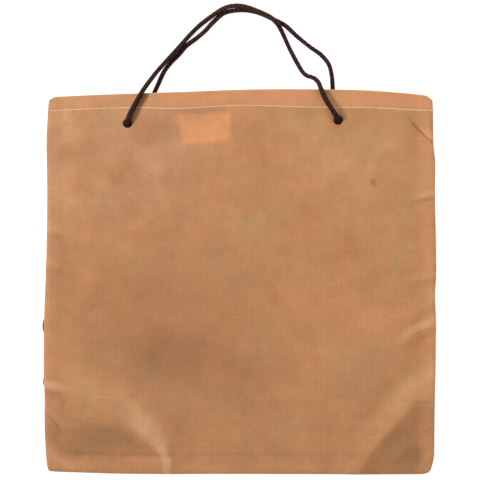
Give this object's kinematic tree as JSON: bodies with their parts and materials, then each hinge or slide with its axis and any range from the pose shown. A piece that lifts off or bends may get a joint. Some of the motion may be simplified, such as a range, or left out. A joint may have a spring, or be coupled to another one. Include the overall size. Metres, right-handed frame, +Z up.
{
  "type": "tapestry gift bag",
  "caption": "Flat cloth gift bag with a plain non-woven back, a woven tapestry front, a hemmed open mouth and braided cord handles knotted inside.",
  "frame": {"origin": "centre of the underside of the two panels, on the surface that the bag lies on", "axes": "+X across the bag, +Y towards the mouth and the handles, +Z up through the plain panel"},
  "size_m": [0.3519, 0.4206, 0.0177],
  "materials": {
    "plain_cloth": "matt spunbond cloth, bonded in a fine diagonal dot lattice",
    "tapestry_cloth": "matt ribbed tapestry weave",
    "handle_cord": "braided synthetic cord with a soft sheen"
  },
  "bodies": {
    "root": {"plain_panel": "plain_cloth", "tapestry_panel": "tapestry_cloth", "front_handle": "handle_cord", "back_handle": "handle_cord", "front_knot_left": "handle_cord", "front_knot_right": "handle_cord", "back_knot_left": "handle_cord", "back_knot_right": "handle_cord"}
  },
  "joints": []
}
